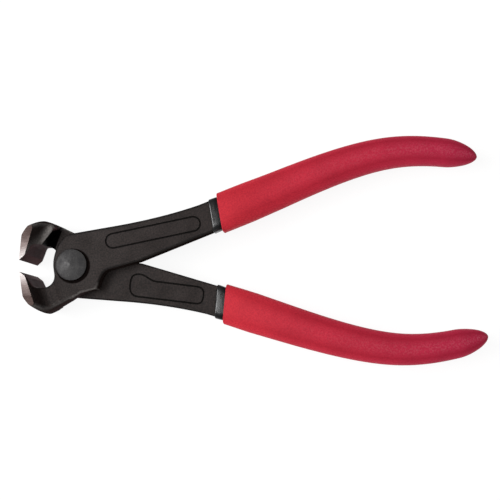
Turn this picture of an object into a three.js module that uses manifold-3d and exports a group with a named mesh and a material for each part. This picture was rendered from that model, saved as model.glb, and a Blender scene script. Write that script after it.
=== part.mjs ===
// End-cutting pliers, in millimetres. Two levers of one forging lie lapped over each other, the second
// turned half a turn about the tool's length, and one rivet joins them. Each handle is dipped twice: a thin
// black undercoat first, then a thick red grip.
// A lever is drawn closed, in its own frame: the rivet's axis is Z, the handle runs towards +X and +Y, the
// jaw towards -X and -Y, the outer face looks along +Z, and Z = 0 is the plane between the two laps.
// The tool's origin lies on the rivet's axis at the flat back of the joint, with +X along the closing line.
import * as THREE from "three";
import { mergeVertices } from "three/addons/utils/BufferGeometryUtils.js";
import Module from "manifold-3d";

const wasm = await Module();
wasm.setup();

// Opening angle between the levers as the tool lies, in degrees
const REST_OPENING = 13.8;

// Joint and rivet
const JOINT_THICKNESS = 12;
const LAP_GAP = 0.3;
const SHANK_DIAMETER = 8;
const BORE_CLEARANCE = 0.1;
const HEAD_DIAMETER = 12.1;
const HEAD_HEIGHT = 2.9;
const HEAD_RIM = 0.7;
const SEAT_GAP = 0.1;
const TAIL_DIAMETER = 10.6;
const TAIL_DEPTH = 1.8;

// Jaw: distances from the rivet's axis and from the closing line
const EDGE_REACH = 19;
const EDGE_WIDTH = 25;
const FACE_HEIGHT = 9.4;
const JAW_CREST_REACH = 12.6;
const JAW_BACK = 16.9;
const BEVEL_RUN = 2.3;
const BEVEL_DEPTH = 2.4;
const BLADE_THICKNESS = 3.5;
const BLADE_ROOT = 5.2;
const THROAT_DEPTH = 7.0;
const THROAT_RUN = 3.3;

// Ground side lands of the jaw and the forged flanks behind them
const LAND_WIDTH = 1.9;
const FLANK_RUN = 5.6;
const FLANK_HEADING = 10.4;
const FLANK_SLOPE = -56;

// Crowned back of the jaw: ridge in the middle of its width, falling to the lands
const BACK_HEADING = -72;
const BACK_REACH = 12.4;
const BACK_LAND = 8.2;
const BACK_SLOPE = -62;

// Lap seat: a straight wall in the jaw stands clear of the other lever's boss
const WALL_HEADING = 31.9;
const WALL_CLEARANCE = 1.8;

// Boss, heel and arm outline: distances from the rivet's axis
const SHOULDER_HEIGHT = 12.2;
const SHOULDER_END = 20;
const BOSS_TURN = 1.5;
const BOSS_NOSE = 7.4;
const NOSE_FLAT = 2.2;
const SADDLE_REACH = 0.5;
const SADDLE_DROP = 12;
const HEEL_REACH = 8.2;
const HEEL_DROP = 10.9;
const WAIST_REACH = 14;
const WAIST_DROP = 4.2;
const KNEE_REACH = 26.6;
const KNEE_DROP = 3;
const FORGED_EDGE = 0.7;

// Handle line from the neck, where the arm ends, over the crest to the tip
const NECK_REACH = 54;
const NECK_RISE = 8.9;
const NECK_HEADING = 12.2;
const NECK_WIDTH = 11.7;
const CREST_REACH = 126;
const CREST_RISE = 22.6;
const TIP_REACH = 160.9;
const TIP_RISE = 14.9;
const TIP_HEADING = -20;

// Steel core inside the grip
const CORE_WIDTH = 9.8;
const CORE_THICKNESS = 6.4;
const CORE_END_WIDTH = 5;
const CORE_END_THICKNESS = 4.8;
const CORE_BLEND = 18;
const CORE_CENTRING = 34;

// Dip coats: how far past the neck the undercoat stops, the collar it shows before the grip, and the walls
const COLLAR_SETBACK = 2.6;
const COLLAR_WIDTH = 3.6;
const UNDERCOAT_WALL = 0.55;
const GRIP_MOUTH_WALL = 0.9;
const GRIP_WALL = 2;
const GRIP_END_WALL = 5;
const GRIP_DOME = 12;
const COAT_GAP = 0.15;

// Bare frames sunk into the two faces of the arm
const FRAME_GROOVE = 0.5;
const FRAME_DEPTH = 0.35;
const OUTER_FRAME = { start: [17.5, 6.5], startRadius: 2.8, end: [49.4, 7.6], endRadius: 2.8 };
const INNER_FRAME = { start: [26.4, 5.6], startRadius: 3.9, end: [49, 8], endRadius: 2.9 };

// Squareness of the handle's cross-section: 2 is an ellipse, larger is closer to a rectangle
const NECK_SQUARENESS = 8;
const MOUTH_SQUARENESS = 4;
const GRIP_SQUARENESS = 2.6;

// Fineness of the curves
const CURVE_STEPS = 7;
const ROUND_STEPS = 40;
const FRAME_STEPS = 8;
const SECTION_STEPS = 20;
const STATION_SPACING = 6.5;
const DOME_SHARES = [0.3, 0.55, 0.75, 0.9, 0.98];
const WELD = 1e-4;

// Derived places
const OUTER_FACE = JOINT_THICKNESS / 2;
const LAP_FACE = LAP_GAP / 2;
const WALL_REACH = Math.hypot(BOSS_TURN, SHOULDER_HEIGHT) + WALL_CLEARANCE;
const HALF_OPENING = THREE.MathUtils.degToRad(REST_OPENING / 2);
const UNDERCOAT_LINE = NECK_REACH + COLLAR_SETBACK;
const GRIP_LINE = UNDERCOAT_LINE + COLLAR_WIDTH;

const at = (x, y) => new THREE.Vector2(x, y);

// Plane vector of a given length at a heading in degrees
function vector(heading, length) {
  const angle = THREE.MathUtils.degToRad(heading);
  return at(length * Math.cos(angle), length * Math.sin(angle));
}

// Curve that leaves one point and arrives at the next at given headings; pulls are shares of the chord
function bend(from, to, leave, arrive, leavePull, arrivePull = leavePull) {
  const chord = from.distanceTo(to);
  const first = from.clone().add(vector(leave, leavePull * chord));
  const second = to.clone().sub(vector(arrive, arrivePull * chord));
  return new THREE.CubicBezierCurve(from, first, second, to);
}

const curvePoints = (curve) => curve.getPoints(CURVE_STEPS).slice(1);

// Closed solid from any three.js geometry
function solidOf(geometry) {
  const bare = new THREE.BufferGeometry();
  bare.setAttribute("position", geometry.getAttribute("position").clone());
  if (geometry.index) bare.setIndex(geometry.index.clone());
  const welded = mergeVertices(bare, WELD);
  const corners = welded.index.array;
  const triangles = [];
  for (let i = 0; i < corners.length; i += 3) {
    const [a, b, c] = [corners[i], corners[i + 1], corners[i + 2]];
    if (a !== b && b !== c && c !== a) triangles.push(a, b, c);
  }
  return new wasm.Manifold(new wasm.Mesh({
    numProp: 3,
    vertProperties: new Float32Array(welded.getAttribute("position").array),
    triVerts: new Uint32Array(triangles),
  }));
}

function piece(name, solid, look) {
  const { vertProperties, triVerts } = solid.getMesh();
  const geometry = new THREE.BufferGeometry();
  geometry.setAttribute("position", new THREE.BufferAttribute(new Float32Array(vertProperties), 3));
  geometry.setIndex(new THREE.BufferAttribute(new Uint32Array(triVerts), 1));
  geometry.computeVertexNormals();
  const mesh = new THREE.Mesh(geometry, new THREE.MeshStandardMaterial(look));
  mesh.name = name;
  return mesh;
}

// Upright prism on an outline, from one height to another
function prism(shape, bottom, top) {
  const options = { depth: top - bottom, bevelEnabled: false, curveSegments: FRAME_STEPS };
  return new THREE.ExtrudeGeometry(shape, options).translate(0, 0, bottom);
}

// Cylinder or cone along Z between two heights
function turned(bottomRadius, topRadius, bottom, top) {
  const height = top - bottom;
  const geometry = new THREE.CylinderGeometry(topRadius, bottomRadius, height, ROUND_STEPS);
  return geometry.rotateX(Math.PI / 2).translate(0, 0, bottom + height / 2);
}

// Handle line
const neck = at(NECK_REACH, NECK_RISE);
const crest = at(CREST_REACH, CREST_RISE);
const tip = at(TIP_REACH, TIP_RISE);
const handleLine = new THREE.CurvePath();
handleLine.add(bend(neck, crest, NECK_HEADING, 0, 0.36, 0.27));
handleLine.add(bend(crest, tip, 0, TIP_HEADING, 0.36, 0.34));
const HANDLE_LENGTH = handleLine.getLength();
const CORE_END = HANDLE_LENGTH - GRIP_END_WALL - UNDERCOAT_WALL - 2 * COAT_GAP;

// Outline of the joint, jaw and arm in plan, counter-clockwise from the cutting edge
function leverOutline() {
  const edge = at(-EDGE_REACH, 0);
  const chin = at(-EDGE_REACH, -FACE_HEIGHT);
  const back = at(-JAW_CREST_REACH, -JAW_BACK);
  const saddle = at(SADDLE_REACH, -SADDLE_DROP);
  const heel = at(HEEL_REACH, -HEEL_DROP);
  const waist = at(WAIST_REACH, -WAIST_DROP);
  const knee = at(KNEE_REACH, -KNEE_DROP);
  const across = vector(NECK_HEADING + 90, NECK_WIDTH / 2);
  const neckInside = neck.clone().sub(across);
  const neckOutside = neck.clone().add(across);
  const shoulder = at(SHOULDER_END, SHOULDER_HEIGHT);
  const boss = at(BOSS_TURN, SHOULDER_HEIGHT);
  const nose = at(-BOSS_NOSE, 0);
  const noseFoot = at(-BOSS_NOSE, -NOSE_FLAT);
  const bladeRoot = at(-EDGE_REACH + BLADE_THICKNESS, -BLADE_ROOT);
  const throat = at(bladeRoot.x + THROAT_RUN, -THROAT_DEPTH);
  const bevel = at(-EDGE_REACH + BEVEL_RUN, -BEVEL_DEPTH);
  return [
    edge,
    chin,
    ...curvePoints(bend(chin, back, -80, 4, 0.22)),
    ...curvePoints(bend(back, saddle, 4, 24, 0.3)),
    ...curvePoints(bend(saddle, heel, 24, 3, 0.3)),
    ...curvePoints(bend(heel, waist, 55, 12, 0.35)),
    knee,
    neckInside,
    neckOutside,
    ...curvePoints(bend(neckOutside, shoulder, 189, 180, 0.33)),
    boss,
    ...curvePoints(bend(boss, nose, 180, -90, 0.32)),
    noseFoot,
    ...curvePoints(bend(noseFoot, throat, -90, 180, 0.43)),
    ...curvePoints(bend(throat, bladeRoot, 180, 105, 0.42)),
    bevel,
  ];
}

// Full-thickness blank with its forged edges broken
function blank(outline) {
  const depth = JOINT_THICKNESS - 2 * FORGED_EDGE;
  const geometry = new THREE.ExtrudeGeometry(new THREE.Shape(outline), {
    depth,
    bevelThickness: FORGED_EDGE,
    bevelSize: FORGED_EDGE,
    bevelOffset: -FORGED_EDGE,
    bevelSegments: 1,
  });
  return solidOf(geometry.translate(0, 0, -depth / 2));
}

// Profile in distance and height, mirrored about height zero and closed at the far start
function mirroredProfile(start, upper) {
  const lower = upper.map((point) => at(point.x, -point.y));
  const half = upper[0].y;
  return new THREE.Shape([at(start, half), at(start, -half), ...lower, ...upper.toReversed()]);
}

// Level prism across the jaw, with its profile in the upright plane at a heading
function crossPrism(profile, heading) {
  const geometry = new THREE.ExtrudeGeometry(profile, { depth: 4 * JAW_BACK, bevelEnabled: false });
  geometry.translate(0, 0, -2 * JAW_BACK);
  const along = vector(heading, 1);
  geometry.applyMatrix4(new THREE.Matrix4().makeBasis(
    new THREE.Vector3(along.x, along.y, 0),
    new THREE.Vector3(0, 0, 1),
    new THREE.Vector3(along.y, -along.x, 0),
  ));
  return solidOf(geometry);
}

// Jaw spread to the full edge width, with lands at both sides and flanks falling to the joint's faces
function jawSpread(outline) {
  const half = EDGE_WIDTH / 2;
  const land = at(-EDGE_REACH + LAND_WIDTH, half);
  const foot = at(land.x + FLANK_RUN, OUTER_FACE - FORGED_EDGE);
  const flank = [land, ...curvePoints(bend(land, foot, FLANK_SLOPE, 0, 0.4))];
  const profile = mirroredProfile(-EDGE_REACH - JAW_BACK, flank);
  const full = prism(new THREE.Shape(outline), -half, half);
  return solidOf(full).intersect(crossPrism(profile, FLANK_HEADING));
}

// What lies outside the crowned back, on the jaw's side of the saddle
function outsideCrown() {
  const land = at(BACK_LAND, EDGE_WIDTH / 2);
  const ridge = at(BACK_REACH, 0);
  const crown = [land, ...curvePoints(bend(land, ridge, BACK_SLOPE, -90, 0.33)).slice(0, -1)];
  const profile = mirroredProfile(-2 * JAW_BACK, crown);
  const size = 4 * JAW_BACK;
  const jawSide = new THREE.BoxGeometry(size, size, 2 * EDGE_WIDTH);
  jawSide.translate(SADDLE_REACH - size / 2, 0, 0);
  return solidOf(jawSide).subtract(crossPrism(profile, BACK_HEADING));
}

// Space of the other lever's lap: everything below the lap face on the rivet's side of the wall
function lapSpace() {
  const size = 2 * NECK_REACH;
  const box = new THREE.BoxGeometry(size + WALL_REACH, 2 * size, EDGE_WIDTH);
  box.translate((size - WALL_REACH) / 2, 0, LAP_FACE - EDGE_WIDTH / 2);
  return solidOf(box.rotateZ(THREE.MathUtils.degToRad(WALL_HEADING)));
}

// Pill-shaped outline around two circles and their outer tangents, grown by a margin
function pillPath(path, frame, margin) {
  const start = at(...frame.start);
  const end = at(...frame.end);
  const startRadius = frame.startRadius + margin;
  const endRadius = frame.endRadius + margin;
  const heading = end.clone().sub(start).angle();
  const spread = Math.acos((startRadius - endRadius) / start.distanceTo(end));
  path.absarc(end.x, end.y, endRadius, heading - spread, heading + spread);
  path.absarc(start.x, start.y, startRadius, heading + spread, heading + 2 * Math.PI - spread);
  return path;
}

function frameGroove(frame, bottom, top) {
  const shape = pillPath(new THREE.Shape(), frame, FRAME_GROOVE / 2);
  shape.holes.push(pillPath(new THREE.Path(), frame, -FRAME_GROOVE / 2));
  return solidOf(prism(shape, bottom, top));
}

// Half sizes, height and squareness of the handle's core at a distance along the handle line
function coreSection(distance) {
  const { lerp, smoothstep, clamp } = THREE.MathUtils;
  const blend = smoothstep(distance, 0, CORE_BLEND);
  const taper = clamp((distance - CORE_BLEND) / (CORE_END - CORE_BLEND), 0, 1);
  const width = lerp(lerp(NECK_WIDTH, CORE_WIDTH, blend), CORE_END_WIDTH, taper);
  const thickness = lerp(lerp(OUTER_FACE - LAP_FACE, CORE_THICKNESS, blend), CORE_END_THICKNESS, taper);
  return {
    halfWidth: width / 2,
    halfThickness: thickness / 2,
    height: lerp((OUTER_FACE + LAP_FACE) / 2, 0, smoothstep(distance, 0, CORE_CENTRING)),
    squareness: lerp(NECK_SQUARENESS, GRIP_SQUARENESS, blend),
  };
}

// The same section grown by the thickness of what lies on it
function grownSection(distance, growth) {
  const section = coreSection(distance);
  section.halfWidth += growth;
  section.halfThickness += growth;
  return section;
}

function gripSection(distance) {
  const { lerp, smoothstep } = THREE.MathUtils;
  const blend = smoothstep(distance, 0, CORE_BLEND);
  const wall = lerp(GRIP_MOUTH_WALL, GRIP_WALL, blend);
  const section = grownSection(distance, 2 * COAT_GAP + UNDERCOAT_WALL + wall);
  const intoDome = Math.max(0, distance - HANDLE_LENGTH + GRIP_DOME) / GRIP_DOME;
  const shrink = Math.sqrt(1 - intoDome ** 2);
  section.halfWidth *= shrink;
  section.halfThickness *= shrink;
  section.squareness = lerp(MOUTH_SQUARENESS, GRIP_SQUARENESS, blend);
  return section;
}

// Points of one section across the handle line; before the neck the line runs on straight
function sectionRing(distance, section) {
  const share = THREE.MathUtils.clamp(distance / HANDLE_LENGTH, 0, 1);
  const tangent = handleLine.getTangentAt(share);
  const centre = handleLine.getPointAt(share).addScaledVector(tangent, Math.min(distance, 0));
  const power = 2 / section.squareness;
  const rounded = (value, half) => Math.sign(value) * half * Math.abs(value) ** power;
  return Array.from({ length: SECTION_STEPS }, (_, step) => {
    const angle = (2 * Math.PI * step) / SECTION_STEPS;
    const side = rounded(Math.cos(angle), section.halfWidth);
    const rise = rounded(Math.sin(angle), section.halfThickness);
    return [centre.x - tangent.y * side, centre.y + tangent.x * side, section.height + rise];
  });
}

// Closed skin through sections at the given distances
function loft(distances, sectionAt) {
  const rings = distances.map((distance) => sectionRing(distance, sectionAt(distance)));
  const points = rings.flat();
  const triangles = [];
  for (let ring = 0; ring + 1 < rings.length; ring += 1) {
    for (let step = 0; step < SECTION_STEPS; step += 1) {
      const next = (step + 1) % SECTION_STEPS;
      const [a, b] = [ring * SECTION_STEPS + step, ring * SECTION_STEPS + next];
      triangles.push(a, b, b + SECTION_STEPS, a, b + SECTION_STEPS, a + SECTION_STEPS);
    }
  }
  const last = points.length - SECTION_STEPS;
  for (let step = 1; step + 1 < SECTION_STEPS; step += 1) {
    triangles.push(0, step + 1, step, last, last + step, last + step + 1);
  }
  const geometry = new THREE.BufferGeometry();
  geometry.setAttribute("position", new THREE.Float32BufferAttribute(points.flat(), 3));
  geometry.setIndex(triangles);
  return solidOf(geometry);
}

// Distances between two places on the handle line, in step with the neck so that nested skins stay parallel
function stations(from, to) {
  const distances = [from];
  for (let distance = 0; distance < to - STATION_SPACING / 2; distance += STATION_SPACING) {
    if (distance > from) distances.push(distance);
  }
  return [...distances, to];
}

// Everything on the jaw's side of a dip line
function bareSide(line) {
  const size = 2 * HANDLE_LENGTH;
  return solidOf(new THREE.BoxGeometry(size, size, size).translate(line - size / 2, 0, 0));
}

function leverSolid(countersunk) {
  const outline = leverOutline();
  const core = loft(stations(-CORE_BLEND / 4, CORE_END), coreSection);
  const boreRadius = SHANK_DIAMETER / 2 + BORE_CLEARANCE;
  const sinkRadius = TAIL_DIAMETER / 2 + BORE_CLEARANCE;
  let lever = blank(outline).add(jawSpread(outline));
  lever = lever.subtract(outsideCrown()).subtract(lapSpace()).add(core);
  lever = lever.subtract(solidOf(turned(boreRadius, boreRadius, -JOINT_THICKNESS, JOINT_THICKNESS)));
  if (countersunk) {
    lever = lever.subtract(solidOf(turned(boreRadius, sinkRadius, OUTER_FACE - TAIL_DEPTH, OUTER_FACE)));
  }
  lever = lever.subtract(frameGroove(OUTER_FRAME, OUTER_FACE - FRAME_DEPTH, JOINT_THICKNESS));
  return lever.subtract(frameGroove(INNER_FRAME, -JOINT_THICKNESS, LAP_FACE + FRAME_DEPTH));
}

function undercoatSolid() {
  const inside = loft(stations(0, CORE_END + COAT_GAP), (distance) => grownSection(distance, COAT_GAP));
  const grown = COAT_GAP + UNDERCOAT_WALL;
  const outside = loft(stations(0, CORE_END + grown), (distance) => grownSection(distance, grown));
  return outside.subtract(inside).subtract(bareSide(UNDERCOAT_LINE));
}

function gripSolid() {
  const hollow = 2 * COAT_GAP + UNDERCOAT_WALL;
  const inside = loft(stations(0, CORE_END + hollow), (distance) => grownSection(distance, hollow));
  const domeStart = HANDLE_LENGTH - GRIP_DOME;
  const dome = DOME_SHARES.map((share) => domeStart + share * GRIP_DOME);
  const outside = loft([...stations(0, domeStart), ...dome], gripSection);
  return outside.subtract(inside).subtract(bareSide(GRIP_LINE));
}

// Domed head over a low rim, shank, and a tail spread flush into the countersink at the back
function rivetSolid() {
  const headSeat = OUTER_FACE + SEAT_GAP;
  const domeFoot = headSeat + HEAD_RIM;
  const domeHeight = HEAD_HEIGHT - HEAD_RIM;
  const dome = new THREE.EllipseCurve(0, domeFoot, HEAD_DIAMETER / 2, domeHeight, 0, Math.PI / 2);
  const profile = [
    at(0, -OUTER_FACE),
    at(TAIL_DIAMETER / 2, -OUTER_FACE),
    at(SHANK_DIAMETER / 2, -OUTER_FACE + TAIL_DEPTH),
    at(SHANK_DIAMETER / 2, headSeat),
    at(HEAD_DIAMETER / 2, headSeat),
    ...dome.getPoints(CURVE_STEPS).slice(0, -1),
    at(0, headSeat + HEAD_HEIGHT),
  ];
  return solidOf(new THREE.LatheGeometry(profile, ROUND_STEPS).rotateX(Math.PI / 2));
}

const FORGED_STEEL = { color: 0x3a3735, roughness: 0.6, metalness: 0.6 };
const RIVET_STEEL = { color: 0x4b4b4e, roughness: 0.4, metalness: 0.8 };
const BLACK_COAT = { color: 0x1c1c1e, roughness: 0.15, metalness: 0 };
const RED_COAT = { color: 0xbe2f3f, roughness: 0.75, metalness: 0 };

const frontHalf = new THREE.Group();
frontHalf.name = "front_half";
frontHalf.rotation.z = HALF_OPENING;
frontHalf.add(piece("front_lever", leverSolid(false), FORGED_STEEL));
frontHalf.add(piece("front_undercoat", undercoatSolid(), BLACK_COAT));
frontHalf.add(piece("front_grip", gripSolid(), RED_COAT));
frontHalf.add(piece("pivot_rivet", rivetSolid(), RIVET_STEEL));

const rearHalf = new THREE.Group();
rearHalf.name = "rear_half";
rearHalf.rotation.set(Math.PI, 0, HALF_OPENING);
rearHalf.add(piece("rear_lever", leverSolid(true), FORGED_STEEL));
rearHalf.add(piece("rear_undercoat", undercoatSolid(), BLACK_COAT));
rearHalf.add(piece("rear_grip", gripSolid(), RED_COAT));

const tool = new THREE.Group();
tool.name = "end_cutting_pliers";
tool.position.z = OUTER_FACE;
tool.add(frontHalf, rearHalf);

export default tool;
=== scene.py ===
"""End-cutting pliers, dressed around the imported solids.

Shapes are worked out in millimetres in a lever's own frame: the rivet's axis is Z, the handle runs towards +X
and +Y, the jaw towards -X and -Y, the outer face looks along +Z, and Z = 0 is the plane between the two laps.
Each finished mesh is then turned into its half of the tool, in metres.
"""

import logging
import math
from collections.abc import Mapping, Sequence
from dataclasses import dataclass, field
from enum import Enum
from typing import Any

import bmesh
import bpy
import numpy as np
from mathutils import Matrix, Vector


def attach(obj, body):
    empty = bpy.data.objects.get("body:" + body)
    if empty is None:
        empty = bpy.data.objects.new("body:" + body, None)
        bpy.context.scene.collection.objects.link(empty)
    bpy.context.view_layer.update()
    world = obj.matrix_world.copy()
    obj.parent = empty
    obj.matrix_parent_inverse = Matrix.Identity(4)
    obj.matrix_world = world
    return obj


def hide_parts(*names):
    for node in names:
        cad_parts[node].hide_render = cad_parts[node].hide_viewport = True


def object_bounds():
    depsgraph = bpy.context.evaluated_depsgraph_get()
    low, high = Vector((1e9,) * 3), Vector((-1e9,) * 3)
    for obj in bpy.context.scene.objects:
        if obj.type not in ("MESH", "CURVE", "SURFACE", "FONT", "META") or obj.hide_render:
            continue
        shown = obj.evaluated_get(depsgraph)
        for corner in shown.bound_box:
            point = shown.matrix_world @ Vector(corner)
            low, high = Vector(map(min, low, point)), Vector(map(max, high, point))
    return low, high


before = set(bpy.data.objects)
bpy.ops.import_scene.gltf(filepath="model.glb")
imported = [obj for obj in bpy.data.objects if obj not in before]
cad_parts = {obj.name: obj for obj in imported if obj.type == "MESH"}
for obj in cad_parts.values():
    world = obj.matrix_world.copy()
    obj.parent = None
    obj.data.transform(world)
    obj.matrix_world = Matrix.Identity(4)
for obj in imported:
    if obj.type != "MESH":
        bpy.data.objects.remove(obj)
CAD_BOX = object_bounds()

MM = 0.001
# Input sockets of a colour mix node
SHARE, UNDER, OVER = 0, 6, 7
# Longer than any distance on the tool, in millimetres
FAR = 200
log = logging.getLogger("pliers")


class Half(Enum):
    """The two halves of the tool."""

    FRONT = "front"
    REAR = "rear"

    @property
    def body(self) -> str:
        """Name of the half's CAD body."""
        return f"{self.value}_half"

    def node(self, part: str) -> str:
        """Name of one of the half's CAD nodes."""
        return f"{self.value}_{part}"


class Slot(Enum):
    """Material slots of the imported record."""

    FORGED_STEEL = "forged_steel"
    RIVET_STEEL = "rivet_steel"
    BLACK_COAT = "black_coat"
    RED_COAT = "red_coat"


# Small tools


def linear(code: str) -> tuple[float, float, float, float]:
    """Turns an sRGB hex colour into linear light.

    Args:
        code: Colour such as "#3c3836".

    Returns:
        Red, green, blue and an alpha of 1.
    """
    shares = [int(code[i : i + 2], 16) / 255 for i in (1, 3, 5)]
    light = [s / 12.92 if s <= 0.04045 else ((s + 0.055) / 1.055) ** 2.4 for s in shares]
    return (light[0], light[1], light[2], 1.0)


def add(tree: bpy.types.NodeTree, kind: str, inputs: Mapping[Any, Any] | None = None, **settings: Any) -> Any:
    """Adds a node with its settings and links.

    Args:
        tree: Tree that takes the node.
        kind: Node type.
        inputs: Values, output sockets to link, or nodes whose first output in use is linked, by the input's
            name or number.
        **settings: Attributes of the node.

    Returns:
        The new node.
    """
    node = tree.nodes.new(kind)
    for name, value in settings.items():
        setattr(node, name, value)
    for key, value in (inputs or {}).items():
        if isinstance(value, bpy.types.Node):
            value = next(socket for socket in value.outputs if socket.enabled)
        if isinstance(value, bpy.types.NodeSocket):
            tree.links.new(value, node.inputs[key])
        else:
            node.inputs[key].default_value = value
    return node


def looked_at(tree: bpy.types.NodeTree) -> Any:
    """Share that is 1 where the camera, gloss or glass sees a thing, and 0 where it only gives light."""
    rays = add(tree, "ShaderNodeLightPath").outputs
    seen = rays["Is Camera Ray"]
    for kind in ("Is Glossy Ray", "Is Transmission Ray"):
        seen = add(tree, "ShaderNodeMath", {0: seen, 1: rays[kind]}, operation="MAXIMUM")
    return seen


def smooth_step(value: np.ndarray, low: float, high: float) -> np.ndarray:
    """Share from 0 at low to 1 at high, easing in and out."""
    share = np.clip((value - low) / (high - low), 0, 1)
    return share * share * (3 - 2 * share)


def blend_max(a: np.ndarray, b: np.ndarray, width: float | np.ndarray) -> np.ndarray:
    """Larger of two distances, with the edge between them rounded over a width."""
    near = np.maximum(width - np.abs(a - b), 0)
    return np.maximum(a, b) + near * near / (4 * width)


def blend_min(a: np.ndarray, b: np.ndarray, width: float) -> np.ndarray:
    """Smaller of two distances, with the corner between them filled over a width."""
    return -blend_max(-a, -b, width)


def vector(heading: float, length: float = 1.0) -> np.ndarray:
    """Plane vector of a length at a heading in degrees."""
    angle = math.radians(heading)
    return length * np.array([math.cos(angle), math.sin(angle)])


def along_heading(heading: float, x: np.ndarray, y: np.ndarray) -> np.ndarray:
    """How far plan points lie along a heading in degrees."""
    ahead = vector(heading)
    return x * ahead[0] + y * ahead[1]


def bend(
    start: Sequence[float],
    end: Sequence[float],
    leave: float,
    arrive: float,
    leave_pull: float,
    arrive_pull: float | None = None,
    steps: int = 28,
) -> np.ndarray:
    """Curve that leaves one point and arrives at the next at given headings.

    Args:
        start: First point.
        end: Last point.
        leave: Heading at the start, in degrees.
        arrive: Heading at the end, in degrees.
        leave_pull: Length of the first handle as a share of the chord.
        arrive_pull: Length of the second handle; the first one's if left out.
        steps: Number of points after the first.

    Returns:
        Points after the first one.
    """
    first, last = np.array(start, float), np.array(end, float)
    chord = np.linalg.norm(last - first)
    second = first + vector(leave, leave_pull * chord)
    third = last - vector(arrive, (leave_pull if arrive_pull is None else arrive_pull) * chord)
    t = np.linspace(0, 1, steps + 1)[1:, None]
    return (1 - t) ** 3 * first + 3 * (1 - t) ** 2 * t * second + 3 * (1 - t) * t**2 * third + t**3 * last


def plan_distance(outline: np.ndarray, x: np.ndarray, y: np.ndarray) -> np.ndarray:
    """Distance from plan points to a closed outline, negative inside.

    Args:
        outline: Corners in order.
        x: Grid of X places.
        y: Grid of Y places.

    Returns:
        Grid of signed distances.
    """
    nearest = np.full(x.shape, np.inf)
    inside = np.zeros(x.shape, bool)
    for (ax, ay), (bx, by) in zip(outline, np.roll(outline, -1, axis=0)):
        run, rise = bx - ax, by - ay
        along = np.clip(((x - ax) * run + (y - ay) * rise) / (run * run + rise * rise), 0, 1)
        nearest = np.minimum(nearest, (x - ax - along * run) ** 2 + (y - ay - along * rise) ** 2)
        if rise:
            inside ^= ((ay > y) != (by > y)) & (x < ax + (y - ay) * run / rise)
    return np.where(inside, -1.0, 1.0) * np.sqrt(nearest)


def new_object(name: str, data: bpy.types.ID) -> bpy.types.Object:
    """Object of that name in the scene."""
    made = bpy.data.objects.new(name, data)
    bpy.context.scene.collection.objects.link(made)
    return made


def new_mesh(name: str, points: np.ndarray, faces: Sequence[Sequence[int]]) -> bpy.types.Mesh:
    """Mesh from points and faces."""
    mesh = bpy.data.meshes.new(name)
    mesh.from_pydata(np.asarray(points, float).tolist(), [], [list(map(int, f)) for f in faces])
    return mesh


def outward(mesh: bpy.types.Mesh) -> None:
    """Welds doubled points and turns all faces of a closed mesh outwards."""
    work = bmesh.new()
    work.from_mesh(mesh)
    bmesh.ops.remove_doubles(work, verts=work.verts, dist=1e-5)
    bmesh.ops.recalc_face_normals(work, faces=work.faces)
    if work.calc_volume(signed=True) < 0:
        bmesh.ops.reverse_faces(work, faces=work.faces)
    work.to_mesh(mesh)
    work.free()


def baked(thing: bpy.types.Object, name: str) -> bpy.types.Mesh:
    """Plain mesh of an object with its modifiers applied; the object itself is removed.

    Args:
        thing: Object with modifiers.
        name: Name of the new mesh.

    Returns:
        The new mesh.
    """
    graph = bpy.context.evaluated_depsgraph_get()
    mesh = bpy.data.meshes.new_from_object(thing.evaluated_get(graph))
    mesh.name = name
    bpy.data.objects.remove(thing)
    return mesh


def rings(name: str, loops: Sequence[np.ndarray], closed: bool) -> bpy.types.Mesh:
    """Closed skin through loops of equal length.

    Args:
        name: Name of the mesh.
        loops: Loops of points.
        closed: Whether the last loop joins the first; otherwise both ends get a cap.

    Returns:
        The mesh, facing outwards.
    """
    around = len(loops[0])
    faces = []
    for row in range(len(loops) if closed else len(loops) - 1):
        after = (row + 1) % len(loops)
        for step in range(around):
            ahead = (step + 1) % around
            corners = ((row, step), (row, ahead), (after, ahead), (after, step))
            faces.append([ring * around + spot for ring, spot in corners])
    if not closed:
        last = (len(loops) - 1) * around
        faces.append(range(around - 1, -1, -1))
        faces.append(range(last, last + around))
    mesh = new_mesh(name, np.concatenate(loops), faces)
    outward(mesh)
    return mesh


def turned(name: str, profile: Sequence[tuple[float, float]], around: int) -> bpy.types.Mesh:
    """Closed body of revolution about Z.

    Args:
        name: Name of the mesh.
        profile: Radius and height from one pole to the other; both end on the axis.
        around: Points in each ring.

    Returns:
        The mesh, facing outwards.
    """
    angles = np.linspace(0, 2 * math.pi, around, endpoint=False)
    loops = [np.stack([r * np.cos(angles), r * np.sin(angles), np.full(around, z)], 1) for r, z in profile]
    return rings(name, loops, closed=False)


def prism(name: str, outline: Sequence[Sequence[float]], bottom: float, top: float) -> bpy.types.Mesh:
    """Upright prism on a plan outline."""
    flat = np.array(outline, float)
    levels = [np.column_stack([flat, np.full(len(flat), z)]) for z in (bottom, top)]
    return rings(name, levels, closed=False)


# Finishes


class Finish:
    """What all finishes share: a node tree that each one fills with its own surface."""

    name: str

    def make(self) -> bpy.types.Material:
        """Builds the material."""
        material = bpy.data.materials.new(self.name)
        material.use_nodes = True
        tree = material.node_tree
        tree.nodes.clear()
        add(tree, "ShaderNodeOutputMaterial", {"Surface": self.surface(tree)})
        return material

    def surface(self, tree: bpy.types.NodeTree) -> bpy.types.Node:
        """Adds the nodes of the finish.

        Args:
            tree: Empty tree of the material.

        Returns:
            The shader node.
        """
        raise NotImplementedError


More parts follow.
